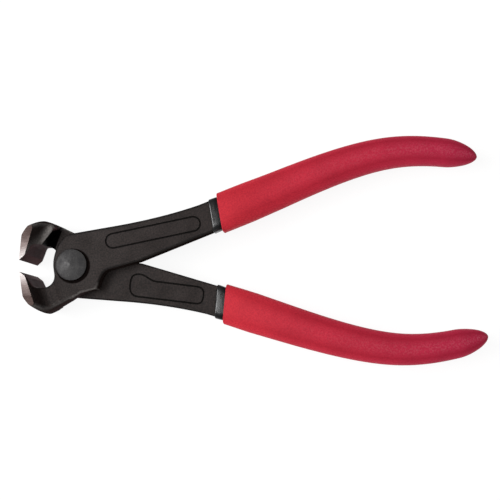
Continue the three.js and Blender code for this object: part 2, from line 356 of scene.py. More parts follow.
@dataclass(frozen=True)
class ForgedSteel(Finish):
    """Drop-forged tool steel, shot-blasted and blackened with a phosphate bath.

    The eye gets a dull brown-black with a fine grain and a little cloudiness from the bath, paler where the
    black is rubbed off and a painted highlight lies, brown where heat tinted the jaw and painted bounce light
    lifts its upright walls, darker with painted shade on rounded edges, and near-black with painted shade at the
    foot of the lap's wall, on the steep flanks and round the rivet.
    """

    name: str = "blackened_forged_steel"
    body: str = "#251d1b"
    cloud: str = "#1f1816"
    # Paler where the black is rubbed off, with a painted highlight there
    rubbed_and_highlight: str = "#7a7572"
    hollow: str = "#120f0e"
    # Heat tint, lightened as painted bounce light on upright walls
    tint_and_bounce_colour: str = "#4e3a3c"
    # Painted shade, near-black
    painted_shade_black: str = "#060505"
    roughness: float = 0.5
    shine: float = 0.16
    tint_and_bounce_shine: float = 0.01
    grain_mm: float = 0.6
    cloud_mm: float = 7.0
    pit_mm: float = 0.1

    def surface(self, tree: bpy.types.NodeTree) -> bpy.types.Node:
        """Adds grain and cloud, and over them rubbed edges with painted highlights, heat tint with painted bounce
        light, and painted shade.
        """
        place = add(tree, "ShaderNodeTexCoord").outputs["Object"]
        edge, rub, scorch, grime = (
            add(tree, "ShaderNodeAttribute", attribute_name=mark).outputs["Fac"]
            for mark in ("edge", "rub", "scorch", "grime")
        )
        # Blasting grit leaves pits of about 0.1 mm; drawn coarser so that it shows in the picture
        grain, cloud = (
            add(tree, "ShaderNodeTexNoise", {"Vector": place, "Scale": 1 / (size * MM), "Detail": detail})
            for size, detail in ((self.grain_mm, 3.0), (self.cloud_mm, 4.0))
        )
        spread = add(tree, "ShaderNodeMapRange", {0: cloud, 1: 0.35, 2: 0.68})
        deep = add(tree, "ShaderNodeMapRange", {0: edge, 1: -0.1, 2: -0.6, 3: 0.0, 4: 0.8})
        speck = add(tree, "ShaderNodeMapRange", {0: grain, 1: 0.3, 2: 0.7, 3: 0.35, 4: 1.8})
        # Painted shade on the rounded edges
        painted_edge_shade = add(tree, "ShaderNodeMapRange", {0: edge, 1: 0.2, 2: 0.9, 3: 1.0, 4: 0.4})
        shade = add(tree, "ShaderNodeMath", {0: speck, 1: painted_edge_shade}, operation="MULTIPLY")
        # Rubbed black with a painted highlight, broken up by the grain
        broken = add(tree, "ShaderNodeMapRange", {0: grain, 1: 0.3, 2: 0.65, 3: 0.5, 4: 1.0})
        bare = add(tree, "ShaderNodeMath", {0: rub, 1: broken}, operation="MULTIPLY")
        colour = linear(self.body)
        for share, over, way in (
            (spread, linear(self.cloud), "MIX"),
            (deep, linear(self.hollow), "MIX"),
            (1.0, shade, "MULTIPLY"),
            (bare, linear(self.rubbed_and_highlight), "MIX"),
            (scorch, linear(self.tint_and_bounce_colour), "MIX"),
            (grime, linear(self.painted_shade_black), "MIX"),
        ):
            layer = {SHARE: share, UNDER: colour, OVER: over}
            colour = add(tree, "ShaderNodeMix", layer, data_type="RGBA", blend_type=way)
        low, high = self.roughness - 0.05, self.roughness + 0.07
        gloss = add(tree, "ShaderNodeMapRange", {0: cloud, 1: 0.3, 2: 0.7, 3: low, 4: high})
        # The pores of the coating swallow the gloss at a slant
        slant = add(tree, "ShaderNodeLayerWeight", {"Blend": 0.5}).outputs["Facing"]
        dull = add(tree, "ShaderNodeMath", {0: slant, 1: grime}, operation="MAXIMUM")
        matt = add(tree, "ShaderNodeMapRange", {0: dull, 1: 0.2, 2: 0.6, 3: self.shine, 4: 0.0})
        film = add(tree, "ShaderNodeMix", {0: scorch, 2: matt, 3: self.tint_and_bounce_shine}, data_type="FLOAT")
        bump = add(tree, "ShaderNodeBump", {"Strength": 0.5, "Distance": self.pit_mm * MM, "Height": grain})
        return add(
            tree, "ShaderNodeBsdfPrincipled",
            {"Base Color": colour, "Roughness": gloss, "IOR": 1.5, "Specular IOR Level": film, "Normal": bump},
        )


@dataclass(frozen=True)
class GroundSteel(Finish):
    """Bare tool steel as the grinding wheel left it.

    The eye gets a metal shine drawn out along the wheel's fine lines, brightest at the cutting edge, and a
    brown temper tint that deepens away from the edge.
    """

    name: str
    edge: str
    middle: str
    far: str
    near_mm: float
    far_mm: float
    roughness: float = 0.3
    slant: str = "#ffffff"
    line_mm: float = 0.16
    cloud_mm: float = 2.5
    scratch_mm: float = 0.02

    def surface(self, tree: bpy.types.NodeTree) -> bpy.types.Node:
        """Adds the temper tint, and the wheel's lines in the gloss."""
        place = add(tree, "ShaderNodeTexCoord").outputs["Object"]
        across = add(tree, "ShaderNodeSeparateXYZ", {0: place}).outputs["Y"]
        away = add(tree, "ShaderNodeMath", {0: across}, operation="ABSOLUTE")
        cloud = add(
            tree, "ShaderNodeTexNoise", {"Vector": place, "Scale": 1 / (self.cloud_mm * MM), "Detail": 3.0}
        )
        near, far = self.near_mm * MM, self.far_mm * MM
        reach = add(tree, "ShaderNodeMapRange", {0: away, 1: near, 2: far, 3: 0.0, 4: 0.85})
        drift = add(tree, "ShaderNodeMath", {0: cloud, 1: 0.3, 2: reach}, operation="MULTIPLY_ADD")
        tint = add(tree, "ShaderNodeValToRGB", {0: drift})
        stops = tint.color_ramp.elements
        stops[0].position, stops[0].color = 0.2, linear(self.edge)
        stops[1].position, stops[1].color = 1.0, linear(self.far)
        stops.new(0.6).color = linear(self.middle)
        # Wheel lines lie across the land; 0.16 mm apart, a few times coarser than they are
        turn = add(tree, "ShaderNodeMapping", {"Vector": place, "Scale": (0.05, 1.0, 0.3)})
        lines = add(tree, "ShaderNodeTexNoise", {"Vector": turn, "Scale": 1 / (self.line_mm * MM), "Detail": 2.0})
        low, high = self.roughness - 0.06, self.roughness + 0.1
        gloss = add(tree, "ShaderNodeMapRange", {0: lines, 1: 0.3, 2: 0.7, 3: low, 4: high})
        bump = add(tree, "ShaderNodeBump", {"Strength": 0.2, "Distance": self.scratch_mm * MM, "Height": lines})
        sheen = linear(self.slant)
        return add(
            tree, "ShaderNodeBsdfPrincipled",
            {"Base Color": tint, "Metallic": 1.0, "Roughness": gloss, "Specular Tint": sheen, "Normal": bump},
        )


@dataclass(frozen=True)
class RivetSteel(Finish):
    """Cold-headed mild steel, peened over and blued by the same bath as the levers.

    The eye gets a soft grey metal sheen, faintly mottled by the hammer, with pale specks on the crown.
    """

    name: str = "blued_rivet_steel"
    body: str = "#545353"
    mottle: str = "#484748"
    speck: str = "#75716e"
    roughness: float = 0.52
    mottle_mm: float = 1.6
    grain_mm: float = 0.3
    dent_mm: float = 0.04

    def surface(self, tree: bpy.types.NodeTree) -> bpy.types.Node:
        """Adds the hammer's mottle with pale specks over it."""
        place = add(tree, "ShaderNodeTexCoord").outputs["Object"]
        mottle, grain = (
            add(tree, "ShaderNodeTexNoise", {"Vector": place, "Scale": 1 / (size * MM), "Detail": detail})
            for size, detail in ((self.mottle_mm, 4.0), (self.grain_mm, 2.0))
        )
        spread = add(tree, "ShaderNodeMapRange", {0: mottle, 1: 0.35, 2: 0.65})
        bare = add(tree, "ShaderNodeMapRange", {0: grain, 1: 0.6, 2: 0.75, 3: 0.0, 4: 0.7})
        colour = linear(self.body)
        for share, over in ((spread, linear(self.mottle)), (bare, linear(self.speck))):
            colour = add(tree, "ShaderNodeMix", {SHARE: share, UNDER: colour, OVER: over}, data_type="RGBA")
        low, high = self.roughness - 0.06, self.roughness + 0.1
        gloss = add(tree, "ShaderNodeMapRange", {0: mottle, 1: 0.3, 2: 0.7, 3: low, 4: high})
        bump = add(tree, "ShaderNodeBump", {"Strength": 0.2, "Distance": self.dent_mm * MM, "Height": mottle})
        return add(
            tree, "ShaderNodeBsdfPrincipled",
            {"Base Color": colour, "Metallic": 1.0, "Roughness": gloss, "Normal": bump},
        )


@dataclass(frozen=True)
class BlackVinyl(Finish):
    """PVC plastisol, dipped and cured with a gloss skin.

    The eye gets a near-black with sharp highlights that waver where the wet coat ran, and that are turned
    down towards the red coat's lip and on the thin sides as painted shade.
    """

    name: str = "gloss_black_dip_vinyl"
    body: str = "#121213"
    roughness: float = 0.22
    shine: float = 0.7
    lip_shaded_shine: float = 0.22
    run_mm: float = 1.4
    ripple_mm: float = 0.15

    def surface(self, tree: bpy.types.NodeTree) -> bpy.types.Node:
        """Adds the runs of the wet coat and the fading gloss."""
        place = add(tree, "ShaderNodeTexCoord").outputs["Object"]
        around = add(tree, "ShaderNodeMapping", {"Vector": place, "Scale": (1.0, 0.22, 0.22)})
        run = add(tree, "ShaderNodeTexNoise", {"Vector": around, "Scale": 1 / (self.run_mm * MM), "Detail": 2.0})
        low, high = self.roughness - 0.1, self.roughness + 0.16
        gloss = add(tree, "ShaderNodeMapRange", {0: run, 1: 0.3, 2: 0.7, 3: low, 4: high})
        bump = add(tree, "ShaderNodeBump", {"Strength": 0.3, "Distance": self.ripple_mm * MM, "Height": run})
        past, slope = (
            add(tree, "ShaderNodeAttribute", attribute_name=mark).outputs["Fac"]
            for mark in ("past_mouth", "slope")
        )
        # Painted shade: the gloss is turned down towards the red coat's lip and on the thin sides
        lip_shade = add(tree, "ShaderNodeMapRange", {0: past, 1: 0.9, 2: 3.0, 3: self.shine, 4: self.lip_shaded_shine})
        side_shade = add(tree, "ShaderNodeMapRange", {0: slope, 1: 0.4, 2: 0.75, 3: 1.0, 4: 0.35})
        shine = add(tree, "ShaderNodeMath", {0: lip_shade, 1: side_shade}, operation="MULTIPLY")
        return add(
            tree, "ShaderNodeBsdfPrincipled",
            {
                "Base Color": linear(self.body),
                "Roughness": gloss,
                "IOR": 1.53,
                "Specular IOR Level": shine,
                "Normal": bump,
            },
        )


@dataclass(frozen=True)
class RedVinyl(Finish):
    """PVC plastisol with a blowing agent, dipped thick and cured to a fine foam skin.

    The eye gets a warm red with a dull, finely pebbled surface and a pale sheen, deeper and cooler red towards
    the end, partly where the coat is thickest and partly as painted shade where the light falls off, with painted
    glints on the crest, painted shade on the flanks and painted light on the thin sides.
    """

    name: str = "foamed_red_dip_vinyl"
    body: str = "#ce313d"
    # Deeper red towards the tip: partly a thicker coat, partly painted shade where the light falls off
    deep: str = "#b22748"
    pit: str = "#98182e"
    # Tint of the painted glints on the crest, and of the sheen
    glint_and_sheen: str = "#ffc8d0"
    # Tint of the painted shade on the flanks
    flank: str = "#ead2d8"
    roughness: float = 0.62
    shine: float = 0.1
    sheen: float = 0.15
    sheen_roughness: float = 0.3
    pebble_mm: float = 0.6
    fine_mm: float = 0.5
    cloud_mm: float = 9.0
    bump_mm: float = 0.12
    near_mm: float = 62.0
    far_mm: float = 160.0

    def surface(self, tree: bpy.types.NodeTree) -> bpy.types.Node:
        """Adds pits and pebbles on a red that changes along and round the grip."""
        place = add(tree, "ShaderNodeTexCoord").outputs["Object"]
        reach = add(tree, "ShaderNodeSeparateXYZ", {0: place}).outputs["X"]
        along = add(tree, "ShaderNodeMapRange", {0: reach, 1: self.near_mm * MM, 2: self.far_mm * MM})
        slope = add(tree, "ShaderNodeAttribute", attribute_name="slope").outputs["Fac"]
        # Foam cells are about 0.1 mm; drawn at half a millimetre so that the pebbling shows
        pebble = add(
            tree, "ShaderNodeTexVoronoi",
            {"Vector": place, "Scale": 1 / (self.pebble_mm * MM), "Randomness": 1.0}, feature="SMOOTH_F1",
        )
        fine, cloud = (
            add(tree, "ShaderNodeTexNoise", {"Vector": place, "Scale": 1 / (size * MM), "Detail": 3.0})
            for size in (self.fine_mm, self.cloud_mm)
        )
        pits = add(tree, "ShaderNodeMapRange", {0: fine, 1: 0.62, 2: 0.34, 3: 0.0, 4: 0.4})
        # Painted glints on the tops of the pebbles on the crest, and painted shade on the flanks
        crest = add(tree, "ShaderNodeMapRange", {0: slope, 1: 0.5, 2: 0.08})
        tops = add(tree, "ShaderNodeMapRange", {0: pebble, 1: 0.5, 2: 0.15, 3: 0.0, 4: 0.07})
        crest_along = add(tree, "ShaderNodeMath", {0: crest, 1: along}, operation="MULTIPLY")
        painted_glint = add(tree, "ShaderNodeMath", {0: crest_along, 1: tops}, operation="MULTIPLY")
        side = add(tree, "ShaderNodeMapRange", {0: slope, 1: 0.92, 2: 0.55})
        between = add(tree, "ShaderNodeMath", {0: side, 1: crest}, operation="SUBTRACT", use_clamp=True)
        growing = add(tree, "ShaderNodeMapRange", {0: along, 1: 0.0, 2: 0.4, 3: 0.4, 4: 1.0})
        painted_flank_shade = add(tree, "ShaderNodeMath", {0: between, 1: growing}, operation="MULTIPLY")
        drift = add(tree, "ShaderNodeMapRange", {0: cloud, 1: 0.3, 2: 0.7, 3: 0.94, 4: 1.05})
        # Painted light on the thin sides of the grip
        bright = add(tree, "ShaderNodeMapRange", {0: side, 1: 1.0, 2: 0.0, 3: 1.0, 4: 1.15})
        shade = add(tree, "ShaderNodeMath", {0: drift, 1: bright}, operation="MULTIPLY")
        # The red deepens towards the tip, partly a thicker coat and partly painted shade where the light falls off
        colour = linear(self.body)
        for share, over, way in (
            (along, linear(self.deep), "MIX"),
            (pits, linear(self.pit), "MIX"),
            (painted_glint, linear(self.glint_and_sheen), "MIX"),
            (painted_flank_shade, linear(self.flank), "MULTIPLY"),
            (1.0, shade, "MULTIPLY"),
        ):
            layer = {SHARE: share, UNDER: colour, OVER: over}
            colour = add(tree, "ShaderNodeMix", layer, data_type="RGBA", blend_type=way)
        height = add(tree, "ShaderNodeMath", {0: fine, 1: 0.6, 2: pebble}, operation="MULTIPLY_ADD")
        bump = add(tree, "ShaderNodeBump", {"Strength": 0.4, "Distance": self.bump_mm * MM, "Height": height})
        return add(
            tree, "ShaderNodeBsdfPrincipled",
            {
                "Base Color": colour,
                "Roughness": self.roughness,
                "IOR": 1.5,
                "Specular IOR Level": self.shine,
                "Sheen Weight": self.sheen,
                "Sheen Roughness": self.sheen_roughness,
                "Sheen Tint": linear(self.glint_and_sheen),
                "Normal": bump,
            },
        )


@dataclass(frozen=True)
class WhitePaper(Finish):
    """Matt white background paper: plain white, and it takes the tool's soft shadow."""

    name: str = "white_background_paper"
    body: str = "#e2e2e2"
    lift: float = 0.8
    glow: float = 1.12

    def surface(self, tree: bpy.types.NodeTree) -> bpy.types.Node:
        """Adds matt paper, lifted to white where it is looked at."""
        share = add(tree, "ShaderNodeMath", {0: looked_at(tree), 1: self.lift}, operation="MULTIPLY")
        paper = add(tree, "ShaderNodeBsdfDiffuse", {"Color": linear(self.body)})
        glow = add(tree, "ShaderNodeEmission", {"Color": (1, 1, 1, 1), "Strength": self.glow})
        return add(tree, "ShaderNodeMixShader", {0: share, 1: paper, 2: glow})


# Pieces


@dataclass
class Joint:
    """How the two halves lie on each other."""

    opening: float = 13.8
    thickness: float = 12.0

    def placement(self, half: Half) -> Matrix:
        """Turns a lever's millimetres into the tool's frame in metres.

        Args:
            half: Half of the tool.

        Returns:
            The matrix for that half, open as the tool lies.
        """
        raised = Matrix.Translation((0, 0, self.thickness / 2 * MM))
        over = Matrix.Rotation(math.pi if half is Half.REAR else 0.0, 4, "X")
        opened = Matrix.Rotation(math.radians(self.opening / 2), 4, "Z")
        return raised @ over @ opened @ Matrix.Scale(MM, 4)

    def place(self, mesh: bpy.types.Mesh, name: str, half: Half, slot: Slot, node: str) -> bpy.types.Object:
        """Puts a finished mesh into the tool and ties it to its CAD body.

        Args:
            mesh: Mesh in a lever's millimetres.
            name: Name of the piece.
            half: Half that the piece moves with.
            slot: Material slot of the record; not used.
            node: CAD node that the piece stands for.

        Returns:
            The piece.
        """
        mesh.transform(self.placement(half))
        mesh.name = name
        mesh.update()
        made = new_object(name, mesh)
        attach(made, half.body)
        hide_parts(node)
        log.info("%s: %d faces on %s", name, len(mesh.polygons), half.body)
        return made


@dataclass
class Field:
    """Signed distances on a grid, negative inside the solid."""

    values: np.ndarray
    low: np.ndarray
    step: float

    def skin(self) -> tuple[np.ndarray, np.ndarray]:
        """Closed skin of four-sided faces where the distance is zero.

        Returns:
            Points, and faces as numbers of points.
        """
        cells = tuple(n - 1 for n in self.values.shape)
        owners, crossings, faces = [], [], []
        for axis in range(3):
            one, two = (axis + 1) % 3, (axis + 2) % 3
            before = np.delete(self.values, -1, axis)
            after = np.delete(self.values, 0, axis)
            found = np.argwhere((before < 0) != (after < 0))
            start, end = before[tuple(found.T)], after[tuple(found.T)]
            point = found.astype(float)
            point[:, axis] += start / (start - end)
            corners = []
            for back_one, back_two in ((0, 0), (1, 0), (1, 1), (0, 1)):
                cell = found.copy()
                cell[:, one] -= back_one
                cell[:, two] -= back_two
                corners.append(np.ravel_multi_index(tuple(cell.T), cells))
            ring = np.stack(corners, 1)
            faces.append(np.where((start < 0)[:, None], ring, ring[:, ::-1]))
            owners.append(ring.ravel())
            crossings.append(np.repeat(point, 4, axis=0))
        used, which = np.unique(np.concatenate(owners), return_inverse=True)
        crossing = np.concatenate(crossings)
        share = np.bincount(which)
        points = np.stack([np.bincount(which, crossing[:, k]) / share for k in range(3)], 1)
        return self.low + self.step * points, np.searchsorted(used, np.concatenate(faces))

    def curvature(self, points: np.ndarray, reach: int = 2) -> np.ndarray:
        """How sharply the skin turns at given points: above 0 on edges, below 0 in hollows.

        Args:
            points: Places to read.
            reach: Grid steps over which the turn is taken.

        Returns:
            One number for each point, in turns per millimetre.
        """
        size = np.array(self.values.shape)
        spot = np.clip(np.rint((points - self.low) / self.step).astype(int), reach, size - 1 - reach)
        total = -6 * self.values[tuple(spot.T)]
        for axis in range(3):
            for way in (-reach, reach):
                beside = spot.copy()
                beside[:, axis] += way
                total += self.values[tuple(beside.T)]
        return total / (reach * self.step) ** 2


@dataclass
class Handle:
    """Handle line from the neck over the crest to the tip, and the steel core that follows it."""

    neck: tuple[float, float] = (54.0, 8.9)
    neck_heading: float = 12.2
    neck_width: float = 11.7
    crest: tuple[float, float] = (126.0, 22.6)
    tip: tuple[float, float] = (160.9, 14.9)
    tip_heading: float = -20.0
    outer_face: float = 6.0
    lap_face: float = 0.15
    core_width: float = 9.8
    core_thickness: float = 6.4
    core_end_width: float = 5.0
    core_end_thickness: float = 4.8
    core_blend: float = 18.0
    core_centring: float = 34.0
    core_end_cover: float = 5.85
    neck_squareness: float = 8.0
    core_squareness: float = 2.6
    line: np.ndarray = field(init=False)
    travelled: np.ndarray = field(init=False)

    def __post_init__(self) -> None:
        """Draws the handle line and measures it."""
        first = bend(self.neck, self.crest, self.neck_heading, 0, 0.36, 0.27, 160)
        second = bend(self.crest, self.tip, 0, self.tip_heading, 0.36, 0.34, 90)
        self.line = np.concatenate([[self.neck], first, second])
        strides = np.linalg.norm(np.diff(self.line, axis=0), axis=1)
        self.travelled = np.concatenate([[0.0], np.cumsum(strides)])

    @property
    def length(self) -> float:
        """Length of the handle line."""
        return float(self.travelled[-1])

    @property
    def core_end(self) -> float:
        """Distance along the line at which the core ends."""
        return self.length - self.core_end_cover

    def distance_at(self, reach: float) -> float:
        """Distance along the line at which it reaches a given X."""
        return float(np.interp(reach, self.line[:, 0], self.travelled))

    def section(self, distance: np.ndarray, growth: np.ndarray) -> dict[str, np.ndarray]:
        """Sizes of the core's cross-section, grown by the thickness of what lies on it.

        Args:
            distance: Distances along the handle line.
            growth: Thickness on the core at each distance.

        Returns:
            Half width, half thickness, height and squareness at each distance.
        """
        mix = smooth_step(distance, 0, self.core_blend)
        taper = np.clip((distance - self.core_blend) / (self.core_end - self.core_blend), 0, 1)
        width = self.neck_width + (self.core_width - self.neck_width) * mix
        width = width + (self.core_end_width - width) * taper
        plate = self.outer_face - self.lap_face
        thickness = plate + (self.core_thickness - plate) * mix
        thickness = thickness + (self.core_end_thickness - thickness) * taper
        middle = (self.outer_face + self.lap_face) / 2
        return {
            "half_width": width / 2 + growth,
            "half_thickness": thickness / 2 + growth,
            "height": middle * (1 - smooth_step(distance, 0, self.core_centring)),
            "squareness": self.neck_squareness + (self.core_squareness - self.neck_squareness) * mix,
        }

    def line_object(self) -> bpy.types.Object:
        """Handle line as a curve object."""
        curve = bpy.data.curves.new("handle_line", "CURVE")
        curve.dimensions = "3D"
        spline = curve.splines.new("POLY")
        spline.points.add(len(self.line) - 1)
        flat = np.column_stack([self.line, np.zeros(len(self.line)), np.ones(len(self.line))])
        spline.points.foreach_set("co", flat.ravel())
        return new_object("handle_line", curve)


@dataclass
class Sleeve:
    """Skin that follows the handle line: a chain of stations, each swept round the line by a node tree."""

    handle: Handle
    weld: float = 0.002
    tree: bpy.types.NodeTree = field(init=False)

    def __post_init__(self) -> None:
        """Builds the node tree."""
        self.tree = self.sweep_tree()

    def sweep_tree(self) -> bpy.types.NodeTree:
        """Node tree that draws a rounded cross-section at every station of a chain.

        Returns:
            The tree, with the handle line, the points around and the finish as inputs. Each point of the skin
            keeps its "slope": 0 on the crest of the section, 1 on its sides.
        """
        tree = bpy.data.node_groups.new("dipped_sleeve", "GeometryNodeTree")
        for name, kind in (
            ("Stations", "NodeSocketGeometry"),
            ("Handle line", "NodeSocketObject"),
            ("Points around", "NodeSocketInt"),
            ("Finish", "NodeSocketMaterial"),
        ):
            tree.interface.new_socket(name, in_out="INPUT", socket_type=kind)
        tree.interface.new_socket("Skin", in_out="OUTPUT", socket_type="NodeSocketGeometry")
        given = add(tree, "NodeGroupInput").outputs
        sizes = {
            name: add(tree, "GeometryNodeInputNamedAttribute", {"Name": name}, data_type="FLOAT").outputs[0]
            for name in ("distance", "half_width", "half_thickness", "height", "squareness", "skew")
        }
        chain = add(tree, "GeometryNodeMeshToCurve", {0: given["Stations"]})
        circle = add(tree, "GeometryNodeCurvePrimitiveCircle", {"Resolution": given["Points around"]})
        factor = add(tree, "GeometryNodeSplineParameter").outputs["Factor"]
        marked = add(tree, "GeometryNodeCaptureAttribute", domain="POINT")
        marked.capture_items.new("FLOAT", "Turn")
        tree.links.new(circle.outputs[0], marked.inputs[0])
        tree.links.new(factor, marked.inputs[1])
        tube = add(tree, "GeometryNodeCurveToMesh", {0: chain, 1: marked.outputs[0]})
        angle = add(tree, "ShaderNodeMath", {0: marked.outputs[1], 1: 2 * math.pi}, operation="MULTIPLY")
        power = add(tree, "ShaderNodeMath", {0: 2.0, 1: sizes["squareness"]}, operation="DIVIDE")
        amounts, offsets = [], []
        for wave, half in (("COSINE", "half_width"), ("SINE", "half_thickness")):
            plain = add(tree, "ShaderNodeMath", {0: angle}, operation=wave)
            amount = add(tree, "ShaderNodeMath", {0: plain}, operation="ABSOLUTE")
            rounded = add(tree, "ShaderNodeMath", {0: amount, 1: power}, operation="POWER")
            sign = add(tree, "ShaderNodeMath", {0: plain}, operation="SIGN")
            signed = add(tree, "ShaderNodeMath", {0: rounded, 1: sign}, operation="MULTIPLY")
            amounts.append(amount)
            offsets.append(add(tree, "ShaderNodeMath", {0: signed, 1: sizes[half]}, operation="MULTIPLY"))
        sloped = add(
            tree, "GeometryNodeStoreNamedAttribute",
            {"Geometry": tube, "Name": "slope", "Value": amounts[0]}, data_type="FLOAT", domain="POINT",
        )
        line = add(tree, "GeometryNodeObjectInfo", {"Object": given["Handle line"]}).outputs["Geometry"]
        spot = add(
            tree, "GeometryNodeSampleCurve", {"Curves": line, "Length": sizes["distance"]}, mode="LENGTH"
        ).outputs
        ahead = spot["Tangent"]
        across = add(tree, "ShaderNodeVectorMath", {0: (0.0, 0.0, 1.0), 1: ahead}, operation="CROSS_PRODUCT")
        lean = add(tree, "ShaderNodeMath", {0: offsets[0], 1: sizes["skew"]}, operation="MULTIPLY")
        rise = add(tree, "ShaderNodeMath", {0: offsets[1], 1: sizes["height"]}, operation="ADD")
        sideways = add(tree, "ShaderNodeVectorMath", {0: across, "Scale": offsets[0]}, operation="SCALE")
        forward = add(tree, "ShaderNodeVectorMath", {0: ahead, "Scale": lean}, operation="SCALE")
        upward = add(tree, "ShaderNodeCombineXYZ", {"Z": rise})
        place = spot["Position"]
        for step in (sideways, forward, upward):
            place = add(tree, "ShaderNodeVectorMath", {0: place, 1: step}, operation="ADD")
        moved = add(tree, "GeometryNodeSetPosition", {"Geometry": sloped, "Position": place})
        welded = add(tree, "GeometryNodeMergeByDistance", {"Geometry": moved, "Distance": self.weld})
        real = add(tree, "GeometryNodeRealizeInstances", {0: welded})
        dressed = add(tree, "GeometryNodeSetMaterial", {0: real, "Material": given["Finish"]})
        add(tree, "NodeGroupOutput", {0: dressed})
        return tree

    def sweep(
        self, name: str, stations: Mapping[str, np.ndarray], around: int, finish: bpy.types.Material
    ) -> bpy.types.Mesh:
        """Sweeps a closed skin through stations.

        Args:
            name: Name of the mesh.
            stations: Distance and section sizes of each station, by name.
            around: Points around each station.
            finish: Material of the skin.

        Returns:
            Plain mesh in a lever's millimetres, facing outwards. Of the sizes it keeps only "past_mouth", which a
            finish reads.
        """
        count = len(stations["distance"])
        chain = bpy.data.meshes.new(name)
        places = np.column_stack([np.arange(count), np.zeros(count), np.zeros(count)])
        chain.from_pydata(places.tolist(), [(i, i + 1) for i in range(count - 1)], [])
        for size, values in stations.items():
            chain.attributes.new(size, "FLOAT", "POINT").data.foreach_set("value", np.asarray(values, np.float32))
        carrier = new_object(name, chain)
        line = self.handle.line_object()
        modifier = carrier.modifiers.new("dipped_sleeve", "NODES")
        modifier.node_group = self.tree
        wanted = {"Handle line": line, "Points around": around, "Finish": finish}
        for item in self.tree.interface.items_tree:
            if item.in_out == "INPUT" and item.name in wanted:
                modifier[item.identifier] = wanted[item.name]
        mesh = baked(carrier, name)
        bpy.data.objects.remove(line)
        outward(mesh)
        for size in stations:
            spare = mesh.attributes.get(size)
            if spare and size != "past_mouth":
                mesh.attributes.remove(spare)
        mesh.shade_smooth()
        return mesh


@dataclass(frozen=True)
class WearAndPaintedLight:
    """Where and how strongly use has marked a forging, and where light and shade are painted on it.

    The two numbers of an end or a reach are where a mark starts to fade and where it is gone. Those of any other
    range are where it sets in and where it is full. The middle of the ring is a point in plan. Places are in
    millimetres, turns in turns per millimetre, and facings are shares of straight on.
    """

    heel_turn: tuple[float, float] = (0.25, 1.1)
    heel_depth: tuple[float, float] = (7.5, 9.5)
    heel_end: tuple[float, float] = (7.5, 10.4)
    heel_rub_and_highlight: float = 0.5
    slide_level: float = -4.5
    slide_start: tuple[float, float] = (-3.8, -1.0)
    slide_end: tuple[float, float] = (-0.15, 0.1)
    foot_height: float = 0.6
    foot_start: tuple[float, float] = (-0.35, -0.05)
    foot_end: tuple[float, float] = (0.8, 1.5)
    foot_side: tuple[float, float] = (-8.2, -7.4)
    foot_spread: float = 0.3
    foot_turn: float = 7.7
    upright: tuple[float, float] = (0.15, 0.35)
    throat_end: tuple[float, float] = (1.0, 6.0)
    outer_facing: tuple[float, float] = (0.1, 0.5)
    outer_clean: float = 0.85
    flank_lean: tuple[float, float] = (0.4, 0.75)
    flank_start: tuple[float, float] = (8.0, 10.0)
    flank_shade_share: float = 0.4
    ring_middle: tuple[float, float] = (0.5, -0.55)
    ring_reach: tuple[float, float] = (6.4, 7.2)
    ring_height: float = 0.3
    ring_shade_share: float = 0.8


